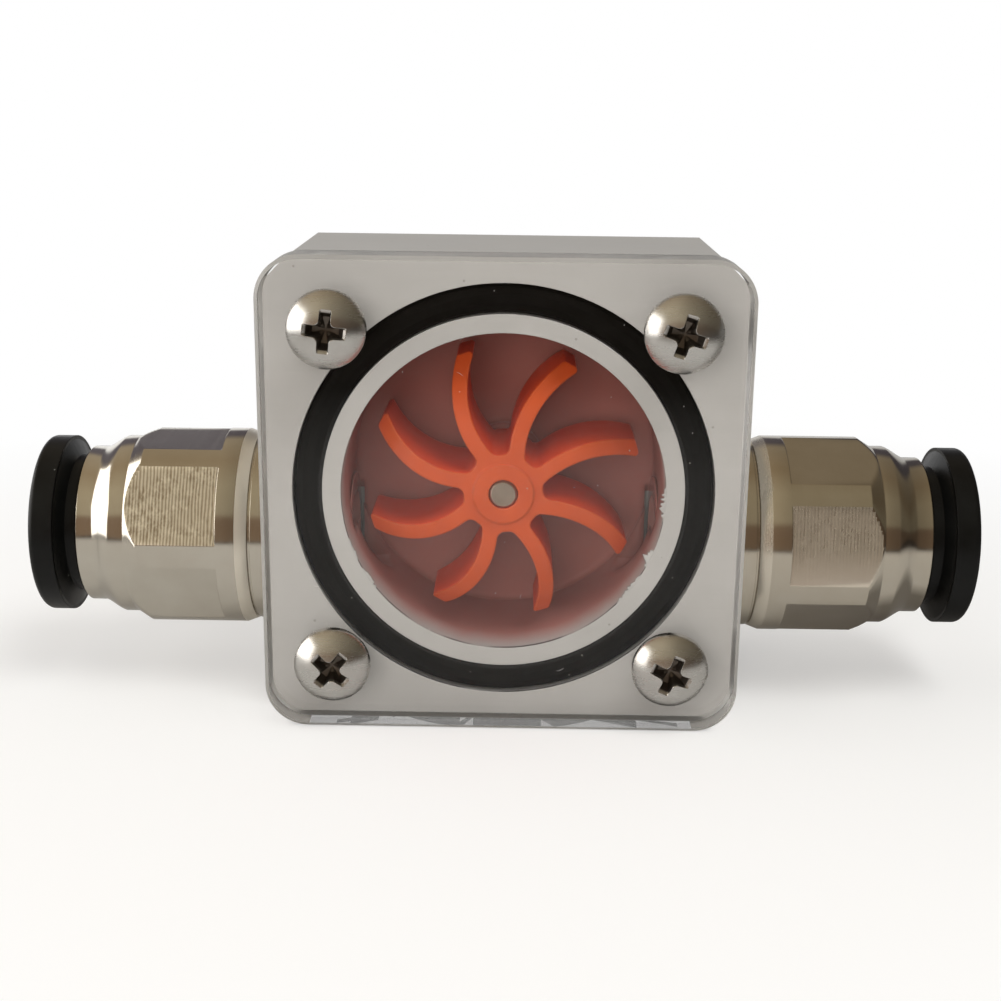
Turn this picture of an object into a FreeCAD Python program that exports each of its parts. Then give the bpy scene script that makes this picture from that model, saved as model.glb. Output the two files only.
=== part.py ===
import FreeCAD, Part
import math
import os

# Paddle-wheel flow meter with a clear window and two push-in tube fittings.
# Millimetres. +X is the flow direction, -Y is the window side, +Z is up.
# The origin is the bottom centre of the whole meter, which stands on its base.

V = FreeCAD.Vector

# ---- clear cover plate
plate_width = 50.0
plate_height = 50.0
plate_thickness = 5.0
plate_corner_radius = 4.5
plate_edge_bevel = 0.4

# ---- moulded body block
plate_overhang_side = 0.35
plate_overhang_top = 0.55
body_depth = 24.0
body_edge_chamfer = 2.5
body_rear_bevel = 0.4

# ---- measuring chamber
chamber_radius = 17.0
chamber_depth = 16.0
lip_width = 1.95
boss_radius = 4.4
boss_height = 1.0

# ---- O-rings: free section, and how far each is squeezed in its groove
cover_seal_section = 2.65
port_seal_section = 1.78
seal_squeeze = 0.19
seal_side_facets = 4
port_seal_mean_radius = 8.4
groove_clearance = 0.05

# ---- cover screws, M4 pan head with a cross recess
screw_radius = 2.0
screw_spacing = 35.5
screw_grip = 9.0
screw_hole_clearance = 0.25
tapped_hole_clearance = 0.03
tapped_hole_spare = 2.0
drill_point_angle = 118.0
head_radius = 4.0
head_height = 2.7
head_rim_height = 0.7
recess_width = 4.3
recess_wing = 1.15
recess_corner_bevel = 0.3
recess_depth = 1.9
recess_draft = 0.62
recess_turns = (6.0, 17.0, 40.0, 21.0)

# ---- shaft and thrust washer
shaft_radius = 1.5
shaft_seat_depth = 6.0
shaft_tip_bevel = 0.25
window_gap = 0.4
shaft_window_gap = 0.12
press_gap = 0.01
washer_outer_radius = 3.6
washer_thickness = 0.5
washer_bore_clearance = 0.08

# ---- impeller
blade_count = 8
hub_radius = 4.15
rear_hub_radius = 3.9
hub_ring_radius = 3.2
hub_ring_height = 0.25
bore_running_clearance = 0.05
thrust_gap = 0.1
tip_radius = 14.8
blade_thickness = 1.6
blade_root_fillet = 0.9
blade_tip_round = 0.35
blade_mid_radius = 9.4
blade_root_angle = 26.0
blade_mid_angle = 27.8
blade_tip_angle = 16.3
blade_overrun_angle = 10.0
blade_back_step = 2.4
front_drop_start_radius = 5.2
front_drop_mid = 0.9
front_drop_tip = 4.0

# ---- ports in the body, pipe thread drawn at its outer diameter
port_drop = 7.5
port_depth_from_face = 11.5
port_thread_radius = 6.58
port_thread_length = 8.0
port_hole_spare = 0.5
port_thread_clearance = 0.03
port_mouth_bevel = 0.5
nozzle_radius = 4.0

# ---- fitting bodies, outside, from the body block outwards
collar_radius = 10.5
collar_length = 2.95
collar_groove_depth = 0.35
collar_groove_width = 0.3
ridge_length = 1.3
barrel_radius = 11.0
barrel_length = 10.6
flats_across = 20.2
flats_length = 8.7
flats_overrun = 0.16
barrel_chamfer_length = 1.6
shoulder_radius = 10.0
shoulder_length = 1.9
shoulder_round_length = 1.6
shoulder_fullness = 0.72
shoulder_foot_radius = 9.1
neck_radius = 8.75
neck_length = 2.1
neck_rim_bevel = 0.2
inlet_flats_turn = -3.0
outlet_flats_turn = 22.0

# ---- inside of the fittings, for a 12 mm tube
tube_radius = 6.0
tube_clearance = 0.1
tube_seat_length = 8.2
flow_bore_radius = 4.5
cavity_radius = 8.0
cavity_clearance = 0.05
guide_recess = 1.9
guide_length = 2.4
guide_skirt_wall = 0.35
sleeve_running_clearance = 0.08
tooth_count = 10
tooth_steel = 0.35
tooth_reach = 1.3
tooth_slot = 0.9
tooth_root_gap = 0.2
backing_length = 2.35
backing_bore_clearance = 0.2
seal_seat_clearance = 0.03
tube_seal_length = 1.84
lip_share = 0.3

# ---- release sleeves
sleeve_stroke = 1.2
sleeve_end_gap = 0.1
sleeve_travel_spare = 0.3
sleeve_wall = 0.9
sleeve_collar_radius = 7.75
sleeve_bore_clearance = 0.2
sleeve_barb_radius = 7.5
sleeve_barb_length = 1.0
sleeve_slot = 1.2
sleeve_cone_length = 0.8
sleeve_cone_radius = 9.5
flange_radius = 9.9
flange_length = 2.7
flange_round = 0.7
sleeve_mouth_bevel = 0.6

# ---- places worked out from the sizes above
body_width = plate_width - 2 * plate_overhang_side
body_height = plate_height - plate_overhang_top
total_depth = head_height + plate_thickness + body_depth
plate_front = -total_depth / 2 + head_height
body_front = plate_front + plate_thickness
body_back = body_front + body_depth
chamber_floor = body_front + chamber_depth
chamber_z = plate_height / 2
side_x = body_width / 2
port_y = body_front + port_depth_from_face
port_z = chamber_z - port_drop
nozzle_length = side_x - math.sqrt(chamber_radius ** 2 - (port_drop + nozzle_radius) ** 2)
chamber_axis = V(0, 0, chamber_z)

cover_seal_height = cover_seal_section * (1 - seal_squeeze)
port_seal_height = port_seal_section * (1 - seal_squeeze)
cover_groove_inner = chamber_radius + lip_width

washer_front = chamber_floor - boss_height - washer_thickness
hub_back = washer_front - thrust_gap
hub_front = body_front + window_gap
blade_back = hub_back - blade_back_step

bore_radius = tube_radius + tube_clearance
sleeve_bore = tube_radius + sleeve_bore_clearance
sleeve_thin_radius = sleeve_bore + sleeve_wall
guide_bore = sleeve_thin_radius + sleeve_running_clearance
ring_outer = cavity_radius - cavity_clearance
barb_start = guide_recess + guide_length + sleeve_end_gap
barb_end = barb_start + sleeve_barb_length
teeth_start = barb_end + sleeve_stroke + sleeve_travel_spare
backing_start = teeth_start + tooth_steel
seal_start = backing_start + backing_length
seat_start = seal_start + tube_seal_length + 2 * seal_seat_clearance
tube_stop = seat_start + tube_seat_length
mouth_s = (collar_length + ridge_length + barrel_length + barrel_chamfer_length
           + shoulder_length + shoulder_round_length + neck_length)


def outline(start, *steps):
    """Closed flat face. A step is a point (line to it) or a pair (arc through the first to the second)."""
    edges = []
    here = start
    for step in steps + (start,):
        if isinstance(step, tuple):
            edges.append(Part.Arc(here, step[0], step[1]).toShape())
            here = step[1]
        elif step.distanceToPoint(here) > 1e-7:
            edges.append(Part.makeLine(here, step))
            here = step
    return Part.Face(Part.Wire(edges))


def along_y(radius, y):
    """A point of a profile that turns about the chamber axis."""
    return V(radius, y, chamber_z)


def turn_y(face, axis_point=chamber_axis):
    return face.revolve(axis_point, V(0, 1, 0), 360)


def turn_x(face):
    return face.revolve(V(0, 0, 0), V(1, 0, 0), 360)


def disc_y(radius, y_from, y_to, x=0.0, z=chamber_z):
    return Part.makeCylinder(radius, y_to - y_from, V(x, y_from, z), V(0, 1, 0))


def screw_places():
    """Screw centres: upper left, upper right, lower left, lower right, seen from the window side."""
    half = screw_spacing / 2
    return [(x, chamber_z + z) for z in (half, -half) for x in (-half, half)]


def edges_along(shape, axis):
    return [e for e in shape.Edges if abs(e.tangentAt(e.FirstParameter).dot(axis)) > 0.999 and e.Length > 1]


def squeezed_ring_width(section, height):
    """Width of a round rubber section pressed to a height, with its area kept."""
    area = math.pi / 4 * section ** 2
    return height + (area - math.pi / 4 * height ** 2) / height


cover_seal_width = squeezed_ring_width(cover_seal_section, cover_seal_height)
port_seal_width = squeezed_ring_width(port_seal_section, port_seal_height)
cover_groove_outer = cover_groove_inner + cover_seal_width + 2 * groove_clearance


def squeezed_section(inner, width, low, height, place):
    """Rubber ring section: flats where it is pressed, and free sides that bulge in short facets."""
    half = height / 2
    middle = low + half
    steps = [-90 + 180 * step / seal_side_facets for step in range(seal_side_facets + 1)]
    bulge = [(half * math.cos(math.radians(turn)), half * math.sin(math.radians(turn))) for turn in steps]
    outside = [place(inner + width - half + out, middle + up) for out, up in bulge]
    inside = [place(inner + half - out, middle + up) for out, up in reversed(bulge)]
    return outline(*outside, *inside)


# ---------------------------------------------------------------- housing

def drill_point(radius, tip_y, x, z):
    """Cone that a twist drill leaves at the bottom of a blind hole."""
    height = radius / math.tan(math.radians(drill_point_angle / 2))
    return Part.makeCone(radius, 0, height, V(x, tip_y, z), V(0, 1, 0))


def make_body():
    block = Part.makeBox(body_width, body_depth, body_height, V(-side_x, body_front, 0))
    block = block.makeChamfer(body_edge_chamfer, edges_along(block, V(0, 1, 0)))
    rear = [f for f in block.Faces if abs(f.CenterOfMass.y - body_back) < 1e-6]
    block = block.makeChamfer(body_rear_bevel, rear[0].Edges)

    chamber = disc_y(chamber_radius, body_front, chamber_floor)
    chamber = chamber.cut(disc_y(boss_radius, chamber_floor - boss_height, chamber_floor))
    groove = disc_y(cover_groove_outer, body_front, body_front + cover_seal_height)
    groove = groove.cut(disc_y(cover_groove_inner, body_front, body_front + cover_seal_height))
    shaft_seat = disc_y(shaft_radius + press_gap, chamber_floor - boss_height, chamber_floor + shaft_seat_depth)
    cuts = [chamber, groove, shaft_seat]

    tap_radius = screw_radius + tapped_hole_clearance
    tap_end = body_front + screw_grip + tapped_hole_spare
    for x, z in screw_places():
        cuts.append(disc_y(tap_radius, body_front, tap_end, x, z))
        cuts.append(drill_point(tap_radius, tap_end, x, z))

    hole_radius = port_thread_radius + port_thread_clearance
    hole_depth = port_thread_length + port_hole_spare
    for side in (-1, 1):
        mouth = V(side * side_x, port_y, port_z)
        inward = V(-side, 0, 0)
        cuts.append(Part.makeCylinder(hole_radius, hole_depth, mouth, inward))
        cuts.append(Part.makeCone(hole_radius + port_mouth_bevel, hole_radius, port_mouth_bevel, mouth, inward))
        cuts.append(Part.makeCylinder(nozzle_radius, nozzle_length, mouth, inward))
    return block.cut(cuts).removeSplitter()


def make_cover_plate():
    plate = Part.makeBox(plate_width, plate_thickness, plate_height, V(-plate_width / 2, plate_front, 0))
    plate = plate.makeFillet(plate_corner_radius, edges_along(plate, V(0, 1, 0)))
    front = [f for f in plate.Faces if abs(f.CenterOfMass.y - plate_front) < 1e-6]
    plate = plate.makeChamfer(plate_edge_bevel, front[0].Edges)
    hole_radius = screw_radius + screw_hole_clearance
    return plate.cut([disc_y(hole_radius, plate_front, body_front, x, z) for x, z in screw_places()])


def make_cover_seal():
    inner = cover_groove_inner + groove_clearance
    return turn_y(squeezed_section(inner, cover_seal_width, body_front, cover_seal_height, along_y))


def cross_outline(scale, y):
    """Cross with bevelled inner corners, in the plane of a screw head."""
    long = recess_width / 2 * scale
    short = recess_wing / 2 * scale
    past = short + recess_corner_bevel * scale
    corners = [(long, -short), (long, short), (past, short), (short, past),
               (short, long), (-short, long), (-short, past), (-past, short)]
    corners += [(-x, -z) for x, z in corners]
    return Part.makePolygon([V(x, y, z) for x, z in corners + corners[:1]])


def make_screw(x, z, turn):
    head_top = plate_front - head_height
    dome_height = head_height - head_rim_height
    dome_radius = (dome_height ** 2 + head_radius ** 2) / (2 * dome_height)
    half_way = math.asin(head_radius / dome_radius) / 2
    head = outline(
        V(0, plate_front, 0),
        V(head_radius, plate_front, 0),
        V(head_radius, head_top + dome_height, 0),
        (V(dome_radius * math.sin(half_way), head_top + dome_radius * (1 - math.cos(half_way)), 0),
         V(0, head_top, 0)))
    screw = turn_y(head, V(0, 0, 0))
    shank = Part.makeCylinder(screw_radius, plate_thickness + screw_grip, V(0, plate_front, 0), V(0, 1, 0))
    screw = screw.fuse(shank)
    mouth = cross_outline(1, head_top)
    foot = cross_outline(recess_draft, head_top + recess_depth)
    screw = screw.cut(Part.makeLoft([mouth, foot], True, True)).removeSplitter()
    screw.rotate(V(0, 0, 0), V(0, 1, 0), turn)
    screw.translate(V(x, 0, z))
    return screw


def make_cover_screws():
    return Part.makeCompound([make_screw(x, z, turn) for (x, z), turn in zip(screw_places(), recess_turns)])


# ---------------------------------------------------------------- impeller group

def make_impeller_shaft():
    tip = body_front + shaft_window_gap
    end = chamber_floor + shaft_seat_depth
    edge = shaft_radius - shaft_tip_bevel
    return turn_y(outline(
        along_y(0, tip),
        along_y(edge, tip),
        along_y(shaft_radius, tip + shaft_tip_bevel),
        along_y(shaft_radius, end - shaft_tip_bevel),
        along_y(edge, end),
        along_y(0, end)))


def make_thrust_washer():
    ring = disc_y(washer_outer_radius, washer_front, washer_front + washer_thickness)
    return ring.cut(disc_y(shaft_radius + washer_bore_clearance, washer_front, chamber_floor))


def polar(radius, angle):
    """Point of a blade's centreline, angle counted from +X towards +Z."""
    return V(radius * math.cos(math.radians(angle)), 0, radius * math.sin(math.radians(angle)))


def arc_centre(a, b, c):
    """Centre of the circle through three points of the X-Z plane."""
    ab, ac = b - a, c - a
    cross = 2 * (ab.x * ac.z - ab.z * ac.x)
    ux = (ac.z * ab.dot(ab) - ab.z * ac.dot(ac)) / cross
    uz = (ab.x * ac.dot(ac) - ac.x * ab.dot(ab)) / cross
    return a + V(ux, 0, uz)


def make_blade():
    """One curved blade along +X, about the origin: a strip of even thickness whose tip is turned round."""
    root = polar(hub_radius, blade_root_angle)
    mid = polar(blade_mid_radius, blade_mid_angle)
    tip = polar(tip_radius, blade_tip_angle)
    centre = arc_centre(root, mid, tip)
    radius = (root - centre).Length

    def beside(point, offset):
        return centre + (point - centre).normalize() * (radius + offset)

    half = blade_thickness / 2
    length = blade_back - hub_front
    within = centre + FreeCAD.Rotation(V(0, 1, 0), -blade_overrun_angle).multVec(root - centre)
    beyond = centre + FreeCAD.Rotation(V(0, 1, 0), blade_overrun_angle).multVec(tip - centre)
    strip = outline(
        beside(within, half),
        (beside(mid, half), beside(beyond, half)),
        beside(beyond, -half),
        (beside(mid, -half), beside(within, -half)))
    blade = strip.extrude(V(0, length, 0))
    blade.translate(V(0, hub_front, 0))
    return blade.common(Part.makeCylinder(tip_radius, length, V(0, hub_front, 0), V(0, 1, 0)))


def front_waste():
    """What is turned away in front of the blades, so that their edges fall back towards the tips."""
    mid_radius = (front_drop_start_radius + tip_radius) / 2
    face = outline(
        V(front_drop_start_radius, hub_front, 0),
        (V(mid_radius, hub_front + front_drop_mid, 0), V(tip_radius, hub_front + front_drop_tip, 0)),
        V(tip_radius + 1, hub_front + front_drop_tip, 0),
        V(tip_radius + 1, hub_front - 1, 0),
        V(front_drop_start_radius, hub_front - 1, 0))
    return turn_y(face, V(0, 0, 0))


def make_impeller():
    bladed_length = blade_back - hub_front
    wheel = Part.makeCylinder(hub_radius, bladed_length, V(0, hub_front, 0), V(0, 1, 0))
    blades = []
    for index in range(blade_count):
        blade = make_blade()
        blade.rotate(V(0, 0, 0), V(0, 1, 0), index * 360 / blade_count)
        blades.append(blade)
    wheel = wheel.fuse(blades).removeSplitter()
    for radius, fillet in ((hub_radius, blade_root_fillet), (tip_radius, blade_tip_round)):
        corners = [e for e in edges_along(wheel, V(0, 1, 0))
                   if abs(math.hypot(e.CenterOfMass.x, e.CenterOfMass.z) - radius) < 0.01]
        wheel = wheel.makeFillet(fillet, corners)
    wheel = wheel.cut(front_waste())

    ring = Part.makeCylinder(hub_ring_radius, 2 * hub_ring_height, V(0, hub_front - hub_ring_height, 0), V(0, 1, 0))
    rear_hub = Part.makeCylinder(rear_hub_radius, hub_back - hub_front, V(0, hub_front, 0), V(0, 1, 0))
    bore = Part.makeCylinder(shaft_radius + bore_running_clearance, total_depth,
                             V(0, -total_depth / 2, 0), V(0, 1, 0))
    wheel = wheel.fuse([ring, rear_hub]).cut(bore)
    wheel.translate(chamber_axis)
    return wheel


# ---------------------------------------------------------------- tube fittings
# Drawn along +X: s counts outwards from the side of the body block, u inwards from the fitting's mouth.

def at_s(s, radius):
    return V(s, 0, radius)


def at_u(u, radius):
    return V(mouth_s - u, 0, radius)


def fitting_outside():
    s_collar = collar_length
    s_ridge = s_collar + ridge_length
    s_barrel = s_ridge + barrel_length
    s_chamfer = s_barrel + barrel_chamfer_length
    s_shoulder = s_chamfer + shoulder_length
    s_round = s_shoulder + shoulder_round_length
    round_drop = (1 - shoulder_fullness) * (shoulder_radius - shoulder_foot_radius)
    round_mid = at_s(s_shoulder + shoulder_fullness * shoulder_round_length, shoulder_radius - round_drop)
    groove_floor = collar_radius - collar_groove_depth
    return turn_x(outline(
        at_s(-port_thread_length, 0),
        at_s(-port_thread_length, port_thread_radius),
        at_s(0, port_thread_radius),
        at_s(0, collar_radius),
        at_s(s_collar - collar_groove_width, collar_radius),
        at_s(s_collar - collar_groove_width, groove_floor),
        at_s(s_collar, groove_floor),
        at_s(s_collar, collar_radius),
        at_s(s_ridge, barrel_radius),
        at_s(s_barrel, barrel_radius),
        at_s(s_chamfer, shoulder_radius),
        at_s(s_shoulder, shoulder_radius),
        (round_mid, at_s(s_round, shoulder_foot_radius)),
        at_s(s_round, neck_radius),
        at_s(mouth_s - neck_rim_bevel, neck_radius),
        at_s(mouth_s, neck_radius - neck_rim_bevel),
        at_s(mouth_s, 0)))


def fitting_inside():
    return turn_x(outline(
        at_u(-1, 0),
        at_u(-1, cavity_radius),
        at_u(seat_start, cavity_radius),
        at_u(seat_start, bore_radius),
        at_u(tube_stop, bore_radius),
        at_u(tube_stop, flow_bore_radius),
        at_s(-port_thread_length - 1, flow_bore_radius),
        at_s(-port_thread_length - 1, 0)))


def wrench_flats(turn):
    """Material milled off the barrel to leave six flats."""
    s_start = collar_length + ridge_length + barrel_length + flats_overrun - flats_length
    blank = Part.makeCylinder(barrel_radius + 1, flats_length, V(s_start, 0, 0), V(1, 0, 0))
    corner = flats_across / 2 / math.cos(math.radians(30))
    turns = [math.radians(30 + 60 * index) for index in range(6)]
    points = [V(s_start, corner * math.sin(turn), corner * math.cos(turn)) for turn in turns]
    hexagon = Part.Face(Part.makePolygon(points + points[:1])).extrude(V(flats_length, 0, 0))
    waste = blank.cut(hexagon)
    waste.rotate(V(0, 0, 0), V(1, 0, 0), turn)
    return waste


def make_fitting_body(flats_turn):
    inner = port_seal_mean_radius - port_seal_width / 2 - groove_clearance
    outer = port_seal_mean_radius + port_seal_width / 2 + groove_clearance
    groove = Part.makeCylinder(outer, port_seal_height, V(0, 0, 0), V(1, 0, 0))
    groove = groove.cut(Part.makeCylinder(inner, port_seal_height, V(0, 0, 0), V(1, 0, 0)))
    return fitting_outside().cut([fitting_inside(), groove, wrench_flats(flats_turn)]).removeSplitter()


def make_port_seal():
    inner = port_seal_mean_radius - port_seal_width / 2
    return turn_x(squeezed_section(inner, port_seal_width, 0, port_seal_height,
                                   lambda radius, s: at_s(s, radius)))


def make_guide_ring():
    """Pressed ring that keeps the sleeve in, with a skirt that holds down the toothed ring."""
    skirt = cavity_radius - guide_skirt_wall
    outer = cavity_radius - press_gap
    return turn_x(outline(
        at_u(guide_recess, guide_bore),
        at_u(guide_recess, outer),
        at_u(teeth_start, outer),
        at_u(teeth_start, skirt),
        at_u(guide_recess + guide_length, skirt),
        at_u(guide_recess + guide_length, guide_bore)))


def make_grab_ring():
    """Flat rim with slanting teeth that bite the tube."""
    root = cavity_radius - guide_skirt_wall - tooth_root_gap
    tip = bore_radius
    ring = turn_x(outline(
        at_u(teeth_start, root),
        at_u(teeth_start, ring_outer),
        at_u(backing_start, ring_outer),
        at_u(backing_start, root),
        at_u(backing_start + tooth_reach, tip),
        at_u(teeth_start + tooth_reach, tip)))
    gap = Part.makeBox(tooth_reach + 2 * tooth_steel + 1, tooth_slot, root,
                       V(mouth_s - backing_start - tooth_reach - 1, -tooth_slot / 2, 0))
    gaps = []
    for index in range(tooth_count):
        turned = gap.copy()
        turned.rotate(V(0, 0, 0), V(1, 0, 0), index * 360 / tooth_count)
        gaps.append(turned)
    return ring.cut(gaps)


def make_backing_ring():
    """Ring between the teeth and the tube seal, coned so that the teeth can open."""
    bore = bore_radius + backing_bore_clearance
    return turn_x(outline(
        at_u(backing_start, ring_outer - guide_skirt_wall),
        at_u(backing_start, ring_outer),
        at_u(seal_start, ring_outer),
        at_u(seal_start, bore),
        at_u(backing_start + tooth_reach + tooth_steel, bore)))


def make_tube_seal():
    """Lip seal round the tube: flat outside and back, with a lip that leans on the tube."""
    inner = bore_radius + seal_seat_clearance
    outer = cavity_radius - seal_seat_clearance
    front = seal_start + seal_seat_clearance
    back = seat_start - seal_seat_clearance
    lip = (back - front) * lip_share
    return turn_x(outline(
        at_u(front, inner + lip),
        at_u(front, outer),
        at_u(back, outer),
        at_u(back, inner + lip),
        at_u(back - lip, inner),
        at_u(front + lip, inner)))


def make_release_sleeve():
    cone_foot = -sleeve_stroke - sleeve_end_gap
    cone_top = cone_foot - sleeve_cone_length
    end = cone_top - flange_length
    collar_end = guide_recess - sleeve_stroke - sleeve_end_gap
    bevel = sleeve_mouth_bevel
    turn45 = flange_round * (1 - math.sqrt(0.5))
    sleeve = turn_x(outline(
        at_u(end, sleeve_bore + bevel),
        at_u(end, flange_radius - flange_round),
        (at_u(end + turn45, flange_radius - turn45), at_u(end + flange_round, flange_radius)),
        at_u(cone_top, flange_radius),
        at_u(cone_top, sleeve_cone_radius),
        at_u(cone_foot, sleeve_collar_radius),
        at_u(collar_end, sleeve_collar_radius),
        at_u(collar_end, sleeve_thin_radius),
        at_u(barb_start, sleeve_thin_radius),
        at_u(barb_start, sleeve_barb_radius),
        at_u(barb_end, sleeve_thin_radius),
        at_u(barb_end, sleeve_bore),
        at_u(end + bevel, sleeve_bore)))
    slot_length = barb_end - collar_end - sleeve_end_gap
    cross = []
    for turn in (0, 90):
        slot = Part.makeBox(slot_length, sleeve_slot, 4 * sleeve_barb_radius,
                            V(mouth_s - barb_end, -sleeve_slot / 2, -2 * sleeve_barb_radius))
        slot.rotate(V(0, 0, 0), V(1, 0, 0), 45 + turn)
        cross.append(slot)
    return sleeve.cut(cross)


def place_fitting(shape, side):
    """Move a fitting piece to the inlet (side -1) or the outlet (side +1)."""
    placed = shape.copy()
    if side < 0:
        placed.rotate(V(0, 0, 0), V(0, 0, 1), 180)
    placed.translate(V(side * side_x, port_y, port_z))
    return placed


# ---------------------------------------------------------------- all nodes

def build():
    nodes = {
        "body": make_body(),
        "cover_plate": make_cover_plate(),
        "cover_seal": make_cover_seal(),
        "cover_screws": make_cover_screws(),
        "impeller": make_impeller(),
        "impeller_shaft": make_impeller_shaft(),
        "thrust_washer": make_thrust_washer(),
    }
    for name, side, flats_turn in (("inlet", -1, inlet_flats_turn), ("outlet", 1, outlet_flats_turn)):
        pieces = {
            "fitting_body": make_fitting_body(flats_turn),
            "port_seal": make_port_seal(),
            "guide_ring": make_guide_ring(),
            "grab_ring": make_grab_ring(),
            "backing_ring": make_backing_ring(),
            "tube_seal": make_tube_seal(),
            "release_sleeve": make_release_sleeve(),
        }
        for piece, shape in pieces.items():
            nodes[name + "_" + piece] = place_fitting(shape, side)
    return nodes


os.makedirs("parts", exist_ok=True)
for node, shape in build().items():
    shape.exportStep("parts/" + node + ".step")
    print(node, len(shape.Solids), "solid, valid", shape.isValid(), "volume", round(shape.Volume, 1))
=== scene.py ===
import math

import bmesh
import bpy
import numpy as np
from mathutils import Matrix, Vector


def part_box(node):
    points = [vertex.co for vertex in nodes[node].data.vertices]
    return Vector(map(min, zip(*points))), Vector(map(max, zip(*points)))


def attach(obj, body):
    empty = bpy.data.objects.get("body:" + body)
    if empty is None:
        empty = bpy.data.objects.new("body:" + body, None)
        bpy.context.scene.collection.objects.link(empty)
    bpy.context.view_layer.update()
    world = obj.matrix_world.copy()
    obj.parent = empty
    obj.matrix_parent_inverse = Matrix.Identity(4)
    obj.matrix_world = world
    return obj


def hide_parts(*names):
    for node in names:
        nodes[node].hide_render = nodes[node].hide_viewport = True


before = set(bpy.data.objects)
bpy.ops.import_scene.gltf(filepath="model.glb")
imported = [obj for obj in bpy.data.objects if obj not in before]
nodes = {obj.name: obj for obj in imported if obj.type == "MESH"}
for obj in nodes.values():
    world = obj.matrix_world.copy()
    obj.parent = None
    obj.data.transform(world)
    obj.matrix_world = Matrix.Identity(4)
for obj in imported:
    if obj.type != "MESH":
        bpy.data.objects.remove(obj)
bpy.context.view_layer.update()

mm = 0.001
full_turn = 2 * math.pi

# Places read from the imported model, in metres.
plate_low, plate_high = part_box("cover_plate")
body_low, body_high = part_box("body")
shaft_low, shaft_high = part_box("impeller_shaft")
sleeve_low, sleeve_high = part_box("inlet_release_sleeve")
_, screws_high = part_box("cover_screws")
seal_low, seal_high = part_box("cover_seal")
wheel_x = (shaft_low.x + shaft_high.x) / 2
wheel_z = (shaft_low.z + shaft_high.z) / 2
port_y = (sleeve_low.y + sleeve_high.y) / 2
port_z = (sleeve_low.z + sleeve_high.z) / 2

# Lengths of the design that those boxes don't give.
chamber_radius = 17 * mm
chamber_depth = 16 * mm
screw_reach = 17.75 * mm
head_height = 2.7 * mm
dome_radius = 5 * mm
barrel_radius = 11 * mm
flat_distance = 10.1 * mm
seal_cord_radius = 1.35 * mm
seal_radius = (seal_high.x - seal_low.x) / 2 - seal_cord_radius

# How far the wrench flat nearest the front is turned up from it, in degrees.
inlet_flats_turn, outlet_flats_turn = 27, 8


# ---------------------------------------------------------------- mesh helpers

def mesh_piece(name, points, faces, body, merge, smooth=None):
    """A mesh from an array of points and an array of corner numbers, riding on a body. Points nearer to each
    other than merge become one. Given an angle smooth in degrees, flatter edges than that are shaded
    smooth."""
    mesh = bpy.data.meshes.new(name)
    mesh.from_pydata(np.asarray(points).tolist(), [], np.asarray(faces).tolist())
    work = bmesh.new()
    work.from_mesh(mesh)
    bmesh.ops.remove_doubles(work, verts=work.verts, dist=merge)
    bmesh.ops.recalc_face_normals(work, faces=work.faces)
    work.to_mesh(mesh)
    work.free()
    if smooth is not None:
        mesh.shade_smooth()
        mesh.set_sharp_from_angle(angle=math.radians(smooth))
    piece = bpy.data.objects.new(name, mesh)
    bpy.context.scene.collection.objects.link(piece)
    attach(piece, body)
    return piece


def grid_faces(rows, columns, offset=0, flip=False, close_rows=False, close_columns=False):
    """Corner numbers of the quads between the rows and columns of a grid of points."""
    row = np.arange(rows if close_rows else rows - 1)[:, None]
    column = np.arange(columns if close_columns else columns - 1)[None, :]
    next_row, next_column = (row + 1) % rows, (column + 1) % columns
    corners = [row * columns + column, row * columns + next_column,
               next_row * columns + next_column, next_row * columns + column]
    quads = np.stack(corners, -1).reshape(-1, 4)
    return (quads[:, ::-1] if flip else quads) + offset


# ---------------------------------------------------------------- window plate

def rounded_quarter(half_x, half_z, corner, per_side, per_arc):
    """The outline of one quarter of a rounded rectangle, once round from the middle of the plate: out along
    the middle line, up the outer side, round the corner arc, back along the top side and down the other
    middle line."""
    side = np.linspace(0, 1, per_side, endpoint=False)
    arc = np.linspace(0, math.pi / 2, per_arc, endpoint=False)
    low_edge = np.stack([side * half_x, 0 * side], 1)
    right_edge = np.stack([half_x + 0 * side, side * (half_z - corner)], 1)
    arc_x, arc_z = half_x - corner + corner * np.cos(arc), half_z - corner + corner * np.sin(arc)
    top_edge = np.stack([(1 - side) * (half_x - corner), half_z + 0 * side], 1)
    left_edge = np.stack([0 * side, (1 - side) * half_z], 1)
    return np.concatenate([low_edge, right_edge, np.stack([arc_x, arc_z], 1), top_edge, left_edge])


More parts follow.
